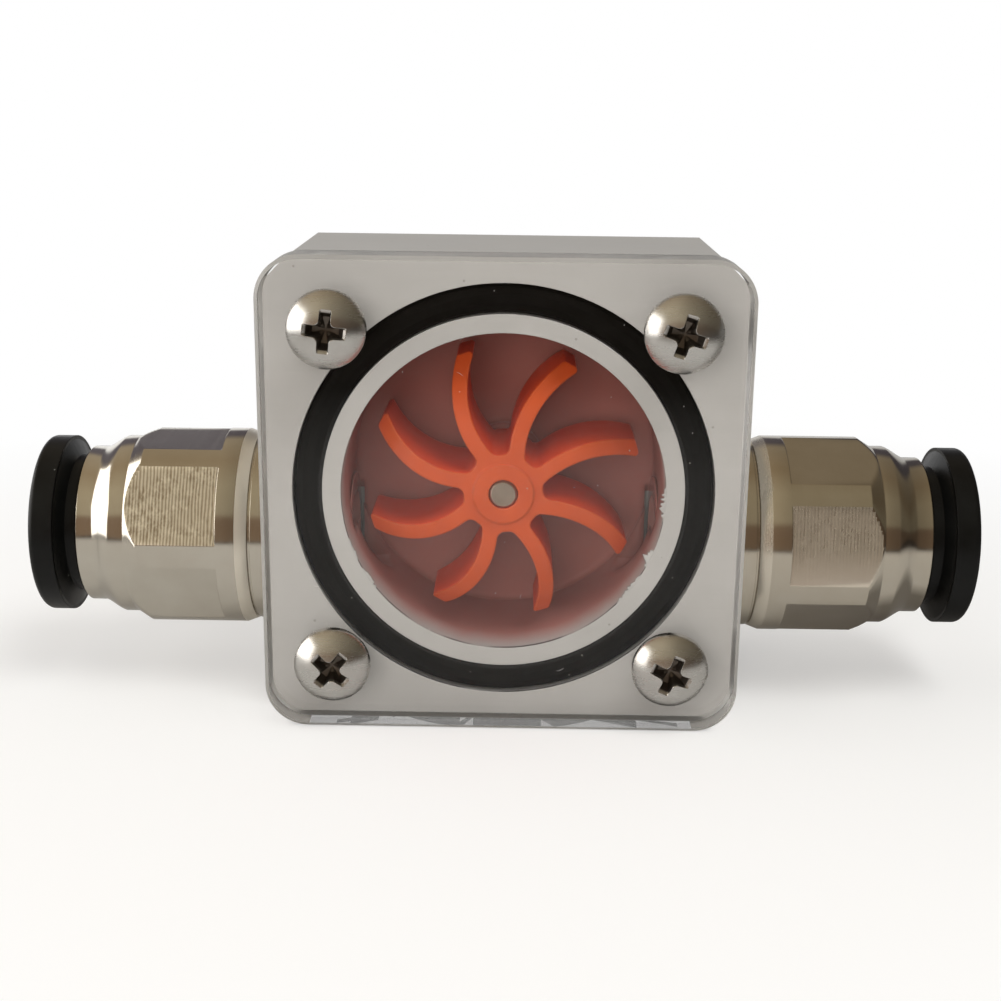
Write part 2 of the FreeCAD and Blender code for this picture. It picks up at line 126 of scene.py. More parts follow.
def window_plate():
    """Each quarter of the plate is a fan of straight lines from the screw hole to the quarter's outline, once
    on the front and once on the back. Bevels, rim and hole walls are strips between those outlines."""
    corner, bevel, hole, gap = 4.5 * mm, 0.4 * mm, 2.15 * mm, 0.03 * mm
    per_side, per_arc, fan_rings = 14, 20, 6
    half_x = (plate_high.x - plate_low.x) / 2
    half_z = (plate_high.z - plate_low.z) / 2
    front, back = plate_low.y, plate_high.y - gap
    full = rounded_quarter(half_x, half_z, corner, per_side, per_arc)
    inset = rounded_quarter(half_x - bevel, half_z - bevel, corner - bevel, per_side, per_arc)
    angle = np.arctan2(inset[:, 1] - screw_reach, inset[:, 0] - screw_reach)
    hole_edge = screw_reach + hole * np.stack([np.cos(angle), np.sin(angle)], 1)
    share = np.linspace(0, 1, fan_rings)[:, None, None]
    fan = hole_edge * (1 - share) + inset * share
    everywhere = np.ones(len(full), bool)
    on_rim = np.zeros(len(full), bool)
    on_rim[per_side:per_side * 3 + per_arc] = True

    def place(flat, depth):
        return np.stack([flat[..., 0], np.full(flat.shape[:-1], depth), flat[..., 1]], -1)

    hole_wall = [place(hole_edge, front), place(hole_edge, back)]
    rim = [place(inset, front), place(full, front + bevel), place(full, back - bevel), place(inset, back)]
    strips = [(place(fan, front), everywhere), (place(fan, back), everywhere),
              (np.stack(hole_wall), everywhere), (np.stack(rim), on_rim)]
    points, faces, offset = [], [], 0
    for strip, keep in strips:
        quads = grid_faces(len(strip), len(full), close_columns=True)
        quads = quads[np.tile(keep, len(strip) - 1)]
        for flip_x in (1, -1):
            for flip_z in (1, -1):
                points.append(strip.reshape(-1, 3) * [flip_x, 1, flip_z])
                faces.append((quads if flip_x == flip_z else quads[:, ::-1]) + offset)
                offset += len(points[-1])
    points = np.concatenate(points) + [0, 0, (plate_low.z + plate_high.z) / 2]
    plate = mesh_piece("window_plate", points, np.concatenate(faces), "housing",
                       merge=1e-6, smooth=25)
    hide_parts("cover_plate")
    return plate


# ---------------------------------------------------------------- cover screws

def cross_mouth(long, wing, corner, end):
    """Once round a cross recess. A quarter runs over half an arm's end, its small end corner, its side, an
    arc that hollows the corner between two arms, and back the same way along the next arm."""
    arc = np.linspace(0, math.pi / 2, 9)
    small = arc[::2]
    reach = np.linspace(0, wing - end, 4)[:, None]
    side = np.linspace(long - end, wing + corner, 7)[1:-1, None]
    first = np.concatenate([
        np.hstack([long + 0 * reach, reach])[:-1],
        np.stack([long - end + end * np.cos(small), wing - end + end * np.sin(small)], 1),
        np.hstack([side, wing + 0 * side])])
    hollow = wing + corner - corner * np.stack([np.sin(arc), np.cos(arc)], 1)
    quarter = np.concatenate([first, hollow, first[:0:-1, ::-1]])
    turned = []
    for angle in np.arange(4) * math.pi / 2:
        cosine, sine = math.cos(angle), math.sin(angle)
        turned.append(quarter @ np.array([[cosine, sine], [-sine, cosine]]))
    return np.concatenate(turned)


def screw_head(head_top, seat):
    """Rings of points: the rim, then a ball-shaped dome whose circles turn step by step into the cross mouth,
    then the recess walls, which draw in with depth, and its floor, which is lowest in the middle."""
    head_radius, dome_height = 4 * mm, 2 * mm
    rim_in, rim_down, mouth_out, mouth_down = 0.05 * mm, 0.06 * mm, 0.06 * mm, 0.05 * mm
    mouth = cross_mouth(long=2.15 * mm, wing=0.575 * mm, corner=0.53 * mm, end=0.16 * mm)
    spoke = np.linalg.norm(mouth, axis=1)
    way = mouth / spoke[:, None]
    level = 0 * spoke

    def dome(radius):
        return head_top + dome_radius - np.sqrt(dome_radius ** 2 - radius ** 2)

    rings = [(way * 0, seat + level), (way * head_radius, seat + level),
             (way * head_radius, head_top + dome_height + rim_down + level)]
    for share in np.linspace(0, 1, 12):
        radius = (1 - share) * (head_radius - rim_in) + share * (spoke + mouth_out)
        rings.append((way * radius[:, None], dome(radius)))
    rings.append((mouth, dome(spoke) + mouth_down))
    for depth, draft in ((0.7, 0.87), (1.3, 0.76), (1.9, 0.62), (2.1, 0.3), (2.3, 0)):
        rings.append((mouth * draft, head_top + depth * mm + level))
    return np.stack([np.stack([flat[:, 0], depth, flat[:, 1]], 1) for flat, depth in rings])


def screw_thread(radius, depth, pitch, start, end):
    """Shank surface: its radius falls from crest to root and rises again once per pitch, one turn further
    round for each pitch along, and draws in to a cone at the end."""
    spokes, rings_per_pitch, steepness = 28, 8, 1.5
    along = np.linspace(start, end, int((end - start) / pitch * rings_per_pitch))[:, None]
    angle = np.linspace(0, full_turn, spokes, endpoint=False)[None, :]
    phase = (along / pitch + angle / full_turn) % 1
    notch = np.minimum(1, steepness * (1 - np.abs(2 * phase - 1)))
    run_out = np.clip((end - along) / (2 * depth), 0, 1)
    spread = np.minimum(radius - depth * notch, radius - 2 * depth + 2 * depth * run_out)
    rings = np.stack([spread * np.cos(angle), along + 0 * angle, spread * np.sin(angle)], -1)
    return np.concatenate([rings[:1] * (0, 1, 0), rings, rings[-1:] * (0, 1, 0)])


def cover_screws():
    """Four pan head screws, each turned its own way. The shank starts a little way inside the head."""
    seat, overlap = plate_low.y, 0.2 * mm
    head = screw_head(plate_low.y - head_height, seat)
    thread = screw_thread(radius=1.99 * mm, depth=0.33 * mm, pitch=0.7 * mm, start=seat - overlap,
                          end=screws_high.y)
    points, faces, offset = [], [], 0
    places = [(x, z) for z in (screw_reach, -screw_reach) for x in (-screw_reach, screw_reach)]
    for (x, z), turn in zip(places, (6, 17, 40, 23)):
        cosine, sine = math.cos(math.radians(turn)), math.sin(math.radians(turn))
        for rings, flip in ((head, False), (thread, True)):
            flat = rings.reshape(-1, 3)
            turned_x = flat[:, 0] * cosine + flat[:, 2] * sine
            turned_z = flat[:, 2] * cosine - flat[:, 0] * sine
            points.append(np.stack([x + turned_x, flat[:, 1], wheel_z + z + turned_z], 1))
            faces.append(grid_faces(rings.shape[0], rings.shape[1], offset, flip, close_columns=True))
            offset += len(flat)
    piece = mesh_piece("pan_head_screws", np.concatenate(points), np.concatenate(faces), "housing",
                       merge=1e-7, smooth=38)
    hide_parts("cover_screws")
    return piece


# ---------------------------------------------------------------- fitting bodies

def fitting_profile():
    """Places along the fitting (from the block outwards) with their radii in millimetres, once round the
    section: the outside from collar to mouth, the bores inwards from the mouth, the threaded end and the seal
    groove. The third value is 1 where the wrench flats cut the outside. The shoulder falls to the neck by an
    even slope times 0.6 plus a smooth step times 0.4, which rounds its ends."""
    collar, groove, barrel, shoulder, neck, lip = 10.5, 10.15, 11, 10, 8.75, 8.55
    groove_start, groove_end, barrel_start, flats_start = 2.65, 2.95, 4.25, 6.31
    chamfer_start, chamfer_length, fall_start, fall_length = 14.85, 1.6, 17.95, 2.3
    lip_start, mouth = 21.85, 22.05
    cup, cup_end, tube_bore, step, water_bore, thread, thread_end = 8, 10.55, 6.1, 2.35, 4.5, 6.58, -8
    seal_inner, seal_outer, seal_depth = 7.33, 9.47, 1.44
    share = np.linspace(0, 1, 11)
    chamfer = [(chamfer_start + chamfer_length * t, barrel - t, 1) for t in share]
    slope = [0.6 * t + 0.4 * (3 * t * t - 2 * t ** 3) for t in share]
    fall = [(fall_start + fall_length * t, shoulder - (shoulder - neck) * drop, 0)
            for t, drop in zip(share, slope)]
    outside = [(0, collar, 0), (groove_start, collar, 0), (groove_start, groove, 0), (groove_end, groove, 0),
               (groove_end, collar, 0), (barrel_start, barrel, 0), (flats_start, barrel, 0),
               (flats_start, barrel, 1), *chamfer, *fall, (lip_start, neck, 0), (mouth, lip, 0)]
    inside = [(mouth, cup, 0), (cup_end, cup, 0), (cup_end, tube_bore, 0), (step, tube_bore, 0),
              (step, water_bore, 0), (thread_end, water_bore, 0)]
    seat = [(thread_end, thread, 0), (0, thread, 0), (0, seal_inner, 0), (seal_depth, seal_inner, 0),
            (seal_depth, seal_outer, 0), (0, seal_outer, 0)]
    return np.array(outside + inside + seat)


def fitting_body(side, flats_turn):
    """The section turned about the port's axis. Where flats cut it, the radius at an angle is no more than
    the flats' distance over the cosine of the angle from the nearest flat's middle."""
    profile = fitting_profile()
    per_flat, per_corner, sixth = 19, 6, full_turn / 6
    half_flat = math.acos(flat_distance / barrel_radius)
    sector = np.concatenate([np.linspace(-half_flat, half_flat, per_flat)[:-1],
                             np.linspace(half_flat, sixth - half_flat, per_corner)[:-1]])
    angle = np.concatenate([sector + k * full_turn / 6 for k in range(6)])[None, :]
    from_flat = np.abs((angle + sixth / 2) % sixth - sixth / 2)
    round_radius = profile[:, 1:2] * mm + 0 * angle
    cut_radius = np.minimum(round_radius, flat_distance / np.cos(from_flat))
    radius = np.where(profile[:, 2:] > 0, cut_radius, round_radius)
    turn = angle + math.radians(flats_turn)
    x = side * (body_high.x + profile[:, :1] * mm) + 0 * angle
    points = np.stack([x, port_y - radius * np.cos(turn), port_z + radius * np.sin(turn)], -1).reshape(-1, 3)
    faces = grid_faces(len(profile), angle.size, close_rows=True, close_columns=True)
    name = "inlet" if side < 0 else "outlet"
    piece = mesh_piece(name + "_turned_body", points, faces, "housing", merge=1e-7, smooth=24)
    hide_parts(name + "_fitting_body")
    return piece


# ---------------------------------------------------------------- machining burrs and dust

def lip_burrs():
    """Thin torn flakes left on the inner edge of the chamber lip. Along each, the reach inwards is a hump
    times random steps of two lengths, and the thickness follows the hump."""
    random = np.random.default_rng(4)
    per_degree, slow_run, thickness = 7, 6, 0.1 * mm
    points, faces, offset = [], [], 0
    # First and last angle in degrees, reach inwards in millimetres.
    flakes = ((-44, -30, 0.5), (-27, -20, 1.1), (-9, 4, 0.75), (197, 206, 0.3), (209, 218, 0.45))
    for start, end, reach in flakes:
        steps = int((end - start) * per_degree)
        angle = np.radians(np.linspace(start, end, steps))
        hump = np.sin(np.linspace(0, math.pi, steps)) ** 0.6
        slow = np.repeat(random.uniform(0.05, 1, steps // slow_run + 1), slow_run)[:steps]
        torn = hump * (0.6 * slow + 0.4 * random.uniform(0, 1, steps))
        inner = chamber_radius - reach * mm * torn
        outer = chamber_radius + 0.04 * mm + 0 * torn
        top = body_low.y + 0.02 * mm + 0 * torn
        under = top + thickness * hump
        rows = [np.stack([wheel_x + radius * np.cos(angle), depth, wheel_z + radius * np.sin(angle)], 1)
                for radius, depth in ((outer, top), (inner, top), (inner, under), (outer, under))]
        points.append(np.concatenate(rows))
        faces.append(grid_faces(4, steps, offset, close_rows=True))
        offset += 4 * steps
    return mesh_piece("lip_burrs", np.concatenate(points), np.concatenate(faces), "housing",
                      merge=1e-8)


def window_dust():
    """Grains and short hairs of dust on the window. A grain is a low cone over an uneven five-sided rim. A
    hair is a ridge along an arc, and its width and height follow half a sine wave from end to end."""
    random = np.random.default_rng(11)
    foot, height = plate_low.y - 0.004 * mm, 0.02 * mm
    grains, rim_corners, hairs, hair_steps = 16, 5, 6, 8
    points, faces, offset = [], [], 0

    def place_in(reach):
        angle, radius = random.uniform(0, full_turn), math.sqrt(random.uniform(0, 1)) * reach
        return np.array([radius * math.cos(angle), wheel_z + radius * math.sin(angle)])

    def add(flat, lift, **closed):
        nonlocal offset
        rows, columns = flat.shape[:2]
        points.append(np.stack([flat[..., 0], foot - lift, flat[..., 1]], -1).reshape(-1, 3))
        faces.append(grid_faces(rows, columns, offset, **closed))
        offset += rows * columns

    for _ in range(grains):
        centre = place_in(22 * mm)
        corner = np.linspace(0, full_turn, rim_corners, endpoint=False) + random.uniform(0, 1)
        size = random.uniform(0.035, 0.1, rim_corners)[:, None] * mm
        middle = centre + 0 * size
        rim = centre + size * np.stack([np.cos(corner), np.sin(corner)], 1)
        lift = np.array([0, 0, height])[:, None] + 0 * corner
        add(np.stack([middle, rim, middle]), lift, close_columns=True)
    for _ in range(hairs):
        centre = place_in(21 * mm)
        bend = random.uniform(0.5, 1.6) * mm
        turn = random.uniform(0, full_turn) + np.linspace(0, random.uniform(0.5, 1.3), hair_steps)
        taper = np.sin(np.linspace(0, math.pi, hair_steps))
        reach = bend + np.array([0, 0.02, 0.04])[:, None] * mm * taper
        lift = np.array([0, height, 0])[:, None] * taper
        add(centre + reach[..., None] * np.stack([np.cos(turn), np.sin(turn)], 1), lift, close_rows=True)
    return mesh_piece("window_dust", np.concatenate(points), np.concatenate(faces), "housing",
                      merge=1e-7)


# ---------------------------------------------------------------- shader helpers

class Graph:
    """Adds nodes to a tree and joins them: a value given as a socket is linked, any other is set. A value's
    name is its socket's, with _ for each space, or _ and the socket's number."""

    def __init__(self, tree):
        self.tree = tree

    def add(self, kind, settings=None, **values):
        node = self.tree.nodes.new("ShaderNode" + kind)
        for name, value in (settings or {}).items():
            setattr(node, name, value)
        for name, value in values.items():
            key = int(name[1:]) if name[0] == "_" and name[1:].isdigit() else name.replace("_", " ")
            self.set(node, key, value)
        return node

    def set(self, node, key, value):
        if isinstance(value, bpy.types.NodeSocket):
            self.tree.links.new(value, node.inputs[key])
        else:
            node.inputs[key].default_value = value

    def math(self, operation, a, b=0.0):
        return self.add("Math", {"operation": operation}, _0=a, _1=b).outputs[0]

    def remap(self, value, low, high, to_low=0.0, to_high=1.0):
        """The value's place between low and high, held within them, as a place between to_low and to_high."""
        node = self.add("MapRange", {"clamp": True}, Value=value)
        for name, number in (("From Min", low), ("From Max", high), ("To Min", to_low), ("To Max", to_high)):
            self.set(node, name, number)
        return node.outputs["Result"]

    def length(self, first, second):
        """The root of the sum of two squares."""
        return self.math("SQRT", self.math("ADD", self.math("MULTIPLY", first, first),
                                           self.math("MULTIPLY", second, second)))

    def mix(self, share, a, b):
        """Colour a where the share is 0 and b where it is 1."""
        node = self.add("Mix", {"data_type": "RGBA"})
        self.set(node, 0, share)
        self.set(node, 6, a)
        self.set(node, 7, b)
        return node.outputs[2]

    def tint(self, base, mask, strength, tone):
        """A tone laid over the base by the mask times the strength."""
        return self.mix(self.math("MULTIPLY", mask, strength), base, tone)

    def blend(self, share, a, b):
        """Number a where the share is 0 and b where it is 1."""
        return self.add("Mix", {"data_type": "FLOAT"}, _0=share, _2=a, _3=b).outputs[0]

    def place(self):
        """The place on the object, in metres."""
        return self.add("TexCoord").outputs["Object"]

    def stretched_place(self, factors):
        return self.add("VectorMath", {"operation": "MULTIPLY"}, _0=self.place(), _1=factors).outputs[0]

    def noise(self, vector, scale, detail, roughness=0.5):
        node = self.add("TexNoise", Vector=vector, Scale=scale, Detail=detail, Roughness=roughness)
        return node.outputs["Fac"]

    def xyz(self, vector):
        return self.add("SeparateXYZ", Vector=vector).outputs

    def normal(self):
        """The mesh's own normal, as X, Y and Z."""
        return self.xyz(self.add("NewGeometry").outputs["True Normal"])

    def from_wheel(self, axes):
        """Distance from the wheel's axis."""
        return self.length(self.math("SUBTRACT", axes["X"], wheel_x),
                           self.math("SUBTRACT", axes["Z"], wheel_z))

    def from_ports(self, axes):
        """Distance from the ports' axis."""
        return self.length(self.math("SUBTRACT", axes["Y"], port_y),
                           self.math("SUBTRACT", axes["Z"], port_z))

    def group(self, tree, **values):
        node = self.tree.nodes.new("ShaderNodeGroup")
        node.node_tree = tree
        for name, value in values.items():
            self.set(node, name.replace("_", " "), value)
        return node.outputs


def new_group(name, inputs, outputs):
    """An empty shader node group. inputs is {name: (kind, value)} and outputs is {name: kind}."""
    tree = bpy.data.node_groups.new(name, "ShaderNodeTree")
    for socket, (kind, value) in inputs.items():
        made = tree.interface.new_socket(name=socket, in_out="INPUT", socket_type="NodeSocket" + kind)
        made.default_value = value
    for socket, kind in outputs.items():
        tree.interface.new_socket(name=socket, in_out="OUTPUT", socket_type="NodeSocket" + kind)
    graph = Graph(tree)
    source = tree.nodes.new("NodeGroupInput").outputs
    result = tree.nodes.new("NodeGroupOutput")
    return tree, graph, source, result


def mottle_group():
    """Slow cloudy change from 0 to 1 over a surface, with a finer one over it."""
    tree, graph, source, result = new_group(
        "mottle", {"Scale": ("Float", 200.0), "Stretch": ("Vector", (1, 1, 1))}, {"Mask": "Float"})
    noise = graph.noise(graph.stretched_place(source["Stretch"]), source["Scale"], 4.0, 0.6)
    graph.set(result, "Mask", graph.remap(noise, 0.3, 0.7))
    return tree


def tool_marks_group():
    """Fine parallel lines of a cutter: noise that is many times finer across the lines than along them,
    fainter in patches by the share Broken."""
    tree, graph, source, result = new_group(
        "tool_marks", {"Scale": ("Vector", (4000, 60, 60)), "Broken": ("Float", 0.4)}, {"Mask": "Float"})
    fine_share, coarse_share = 0.6, 0.4
    stretched = graph.stretched_place(source["Scale"])
    fine = graph.noise(stretched, 1.0, 3.0, 0.7)
    coarse = graph.noise(stretched, 0.23, 1.0)
    patches = graph.noise(graph.place(), 420.0, 2.0)
    lines = graph.math("ADD", graph.math("MULTIPLY", fine, fine_share),
                       graph.math("MULTIPLY", coarse, coarse_share))
    strength = graph.remap(patches, 0.35, 0.65, graph.math("SUBTRACT", 1.0, source["Broken"]), 1.0)
    centred = graph.math("MULTIPLY", graph.math("SUBTRACT", lines, 0.5), strength)
    graph.set(result, "Mask", graph.remap(centred, -0.16, 0.16))
    return tree


def cutter_lines_group():
    """Even parallel scores across X: a sine of the place along X, pushed to and fro by slow noise. A finer
    noise is added, weak in some patches and strong in others, where it breaks the scores into short
    lengths."""
    tree, graph, source, result = new_group(
        "cutter_lines", {"Spacing": ("Float", 0.00034), "Waver": ("Float", 2.5)}, {"Mask": "Float"})
    slow = graph.noise(graph.stretched_place((900, 260, 260)), 1.0, 2.0)
    fine = graph.noise(graph.stretched_place((1700, 1000, 1000)), 1.0, 3.0, 0.7)
    turns = graph.math("DIVIDE", graph.xyz(graph.place())["X"], source["Spacing"])
    phase = graph.math("MULTIPLY", turns, full_turn)
    push = graph.math("MULTIPLY", graph.math("SUBTRACT", slow, 0.5),
                      graph.math("MULTIPLY", source["Waver"], 4.0))
    lines = graph.math("SINE", graph.math("ADD", phase, push))
    patch = graph.noise(graph.place(), 420.0, 1.0)
    broken = graph.math("MULTIPLY", graph.math("SUBTRACT", fine, 0.5),
                        graph.remap(patch, 0.4, 0.6, 1.5, 7.0))
    graph.set(result, "Mask", graph.remap(graph.math("ADD", lines, broken), -1.5, 1.5))
    return tree


def specks_group():
    """Sparse small dust grains: the middles of scattered cells, of which only some hold a grain."""
    tree, graph, source, result = new_group(
        "specks", {"Scale": ("Float", 900.0), "Size": ("Float", 0.12), "Share": ("Float", 0.1)},
        {"Mask": "Float"})
    cells = graph.add("TexVoronoi", {"feature": "F1"}, Vector=graph.place(), Scale=source["Scale"])
    near = graph.math("LESS_THAN", cells.outputs["Distance"], source["Size"])
    draw = graph.add("SeparateColor", Color=cells.outputs["Color"]).outputs[0]
    graph.set(result, "Mask", graph.math("MULTIPLY", near, graph.math("LESS_THAN", draw, source["Share"])))
    return tree


def rounded_edge_group():
    """Normals that turn smoothly over a sharp edge, and a mask that is 1 on the edge."""
    tree, graph, source, result = new_group(
        "rounded_edge", {"Radius": ("Float", 0.2 * mm)}, {"Normal": "Vector", "Edge": "Float"})
    bevel = graph.add("Bevel", {"samples": 6}, Radius=source["Radius"]).outputs["Normal"]
    true = graph.add("NewGeometry").outputs["Normal"]
    cosine = graph.add("VectorMath", {"operation": "DOT_PRODUCT"}, _0=bevel, _1=true).outputs["Value"]
    graph.set(result, "Normal", bevel)
    graph.set(result, "Edge", graph.remap(cosine, 0.995, 0.9))
    return tree


mottle = mottle_group()
tool_marks = tool_marks_group()
cutter_lines = cutter_lines_group()
specks = specks_group()
rounded_edge = rounded_edge_group()


def new_material(name):
    """An empty material: itself, its graph, its surface shader and its output."""
    material = bpy.data.materials.new(name)
    material.use_nodes = True
    material.node_tree.nodes.clear()
    graph = Graph(material.node_tree)
    output = graph.add("OutputMaterial")
    shader = graph.add("BsdfPrincipled")
    graph.set(output, "Surface", shader.outputs[0])
    return material, graph, shader, output


def colour(red, green, blue):
    """A display colour from 0 to 255 as linear light."""
    values = np.array([red, green, blue]) / 255
    linear = np.where(values <= 0.04045, values / 12.92, ((values + 0.055) / 1.055) ** 2.4)
    return (*linear.tolist(), 1.0)


def bump(graph, height, distance, normal=None, strength=1.0):
    """Normals of a surface raised by the height times the distance, over the given normals or the mesh's
    own."""
    node = graph.add("Bump", Height=height, Distance=distance, Strength=strength)
    if normal is not None:
        graph.set(node, "Normal", normal)
    return node.outputs["Normal"]


# ---------------------------------------------------------------- materials

# Paler coat tone for walls: painted light, standing in for the light that falls on the chamber and bore
# walls.
coat_painted_light_on_walls = colour(180, 126, 116)


def white_plastic():
    """Milled white block: faint cloudiness, cutter lines, grit and a painted shadow in the gap beside the
    window plate on the outside, and a red-brown coat in the wheel chamber and the ports, which starts
    unevenly under the lip."""
    material, graph, shader, _ = new_material("white_plastic")
    cloud = graph.group(mottle, Scale=120.0)["Mask"]
    lines = graph.group(tool_marks, Scale=(90, 90, 3600), Broken=0.6)["Mask"]
    grit = graph.group(specks, Scale=700.0, Size=0.1, Share=0.05)["Mask"]
    outside = graph.mix(cloud, colour(173, 169, 164), colour(180, 176, 171))
    outside = graph.tint(outside, lines, 0.25, colour(158, 155, 149))
    outside = graph.tint(outside, grit, 0.5, colour(120, 115, 105))
    axes = graph.xyz(graph.place())
    # Painted shade: a dark line on the side faces just behind the plate, where the gap between plate and
    # block lies in shadow.
    seam_full, seam_gone = body_low.y + 0.3 * mm, body_low.y + 0.55 * mm
    seam = graph.remap(axes["Y"], seam_full, seam_gone, 1.0, 0.0)
    facing = graph.normal()["Y"]
    beside = graph.math("LESS_THAN", graph.math("ABSOLUTE", facing), 0.3)
    broken = graph.remap(graph.noise(graph.place(), 130.0, 2.0), 0.36, 0.5)
    gap_painted_shade = graph.math("MULTIPLY", graph.math("MULTIPLY", seam, beside), broken)
    outside = graph.tint(outside, gap_painted_shade, 0.85, colour(52, 48, 44))
    radius, spoke = graph.from_wheel(axes), graph.from_ports(axes)
    chamber = graph.math("LESS_THAN", radius, chamber_radius + 0.02 * mm)
    coated_port = 7.2 * mm
    inside = graph.math("MAXIMUM", chamber, graph.math("LESS_THAN", spoke, coated_port))
    depth = graph.math("SUBTRACT", axes["Y"], body_low.y)
    shallow = graph.math("LESS_THAN", depth, chamber_depth + 1 * mm)
    wavy = graph.group(mottle, Scale=260.0, Stretch=(1, 0.2, 1))["Mask"]
    edge = graph.math("ADD", depth, graph.math("MULTIPLY", wavy, -1.2 * mm))
    coated = graph.remap(edge, -0.2 * mm, 4.2 * mm)
    share = graph.math("MULTIPLY", graph.math("MULTIPLY", inside, shallow), coated)
    smear = graph.group(mottle, Scale=75.0)["Mask"]
    coat = graph.mix(smear, colour(164, 104, 93), colour(148, 89, 79))
    # Painted light: faces turned side-on to the front, the chamber and port walls, get the paler coat.
    wall = graph.math("LESS_THAN", graph.math("ABSOLUTE", facing), 0.5)
    coat = graph.tint(coat, wall, 0.75, coat_painted_light_on_walls)
    graph.set(shader, "Base Color", graph.mix(share, outside, coat))
    graph.set(shader, "Roughness", graph.remap(cloud, 0, 1, 0.42, 0.52))
    soft = graph.group(rounded_edge, Radius=graph.blend(share, 0.15 * mm, 1.2 * mm))
    graph.set(shader, "Normal", bump(graph, lines, 0.004 * mm, soft["Normal"], 0.5))
    return material


def clear_acrylic():
    """Clear cast sheet: lamps shine through it, though less of their light gets through at its foot. The
    faces are smooth with a few fine scratches, the sawn rim, the bevels and the hole walls are matt, and
    where the rubber ring wets the back there is hardly any reflection."""
    material, graph, shader, output = new_material("clear_acrylic")
    graph.set(shader, "Transmission Weight", 1.0)
    graph.set(shader, "IOR", 1.49)
    rim = graph.math("LESS_THAN", graph.math("ABSOLUTE", graph.normal()["Y"]), 0.9)
    graph.set(shader, "Base Color", graph.mix(rim, (0.985, 0.985, 0.98, 1), (0.8, 0.8, 0.78, 1)))
    wear = graph.group(mottle, Scale=300.0)["Mask"]
    graph.set(shader, "Roughness", graph.blend(rim, graph.remap(wear, 0, 1, 0.0, 0.015), 0.42))
    axes = graph.xyz(graph.place())
    off_ring = graph.math("ABSOLUTE", graph.math("SUBTRACT", graph.from_wheel(axes), seal_radius))
    on_ring = graph.math("LESS_THAN", off_ring, 1.3 * mm)
    wetted = graph.math("MULTIPLY", on_ring, graph.math("GREATER_THAN", axes["Y"], plate_high.y - 1 * mm))
    graph.set(shader, "Specular Tint", graph.mix(wetted, (0.75, 0.75, 0.75, 1), (0.03, 0.03, 0.03, 1)))
    scratch = graph.group(tool_marks, Scale=(500, 90, 5200), Broken=1.0)["Mask"]
    graph.set(shader, "Normal", bump(graph, scratch, 0.0006 * mm, None, 0.12))
    foot = graph.math("LESS_THAN", axes["Z"], plate_low.z + 0.5 * mm)
    clear = graph.add("BsdfTransparent", Color=graph.mix(foot, (1, 1, 1, 1), (0.25, 0.25, 0.25, 1)))
    path = graph.add("LightPath")
    mixed = graph.add("MixShader")
    graph.set(mixed, 0, graph.math("MAXIMUM", path.outputs["Is Shadow Ray"], path.outputs["Is Diffuse Ray"]))
    graph.set(mixed, 1, shader.outputs[0])
    graph.set(mixed, 2, clear.outputs[0])
    graph.set(output, "Surface", mixed.outputs[0])
    return material


def black_rubber():
    """Moulded nitrile rubber: near black, with hardly any gloss and a little pale dust."""
    material, graph, shader, _ = new_material("black_rubber")
    cloud = graph.group(mottle, Scale=400.0)["Mask"]
    dust = graph.group(specks, Scale=1500.0, Size=0.16, Share=0.03)["Mask"]
    base = graph.mix(cloud, colour(9, 8, 6), colour(15, 13, 11))
    graph.set(shader, "Base Color", graph.tint(base, dust, 0.5, colour(150, 146, 138)))
    graph.set(shader, "Roughness", graph.remap(cloud, 0, 1, 0.4, 0.55))
    graph.set(shader, "Specular IOR Level", 0.06)
    return material


def orange_plastic():
    """Moulded orange plastic: even colour, slightly deeper in cloudy patches, painted brighter and redder on
    faces that turn away from the front to stand in for light in their shade, paler on rounded edges as a
    painted highlight, satin with rounded edges."""
    material, graph, shader, _ = new_material("orange_plastic")
    cloud = graph.group(mottle, Scale=260.0)["Mask"]
    soft = graph.group(rounded_edge, Radius=0.4 * mm)
    base = graph.mix(cloud, colour(196, 77, 24), colour(184, 69, 19))
    # Painted light: side faces get a brighter, redder orange than their shade would show.
    facing = graph.math("ABSOLUTE", graph.normal()["Y"])
    base = graph.mix(graph.remap(facing, 0.3, 0.8, 1.0, 0.0), base, colour(224, 74, 27))
    # Painted highlight: rounded edges are tinted paler orange.
    graph.set(shader, "Base Color", graph.tint(base, soft["Edge"], 0.25, colour(205, 100, 50)))
    graph.set(shader, "Roughness", graph.remap(cloud, 0, 1, 0.36, 0.46))
    grain = graph.noise(graph.place(), 5200.0, 2.0)
    graph.set(shader, "Normal", bump(graph, grain, 0.003 * mm, soft["Normal"]))
    return material


def flat_mask(graph, axes, normal, flats_turn):
    """1 on the wrench flat nearest the front: its normal points the flat's way within a small angle, and its
    distance from the port's axis, measured that way, is the flats' distance."""
    turn_limit, lean_limit, distance_limit = math.radians(0.7), 0.02, 0.03 * mm
    way = math.radians(flats_turn)
    turn = graph.math("ARCTAN2", normal["Z"], graph.math("MULTIPLY", normal["Y"], -1))
    off = graph.math("ABSOLUTE", graph.math("SUBTRACT", turn, way))
    aligned = graph.math("MULTIPLY", graph.math("LESS_THAN", off, turn_limit),
                         graph.math("LESS_THAN", graph.math("ABSOLUTE", normal["X"]), lean_limit))
    reach_y = graph.math("MULTIPLY", graph.math("SUBTRACT", axes["Y"], port_y), -math.cos(way))
    reach_z = graph.math("MULTIPLY", graph.math("SUBTRACT", axes["Z"], port_z), math.sin(way))
    distance = graph.math("SUBTRACT", graph.math("ADD", reach_y, reach_z), flat_distance)
    on_plane = graph.math("LESS_THAN", graph.math("ABSOLUTE", distance), distance_limit)
    return graph.math("MULTIPLY", aligned, on_plane)


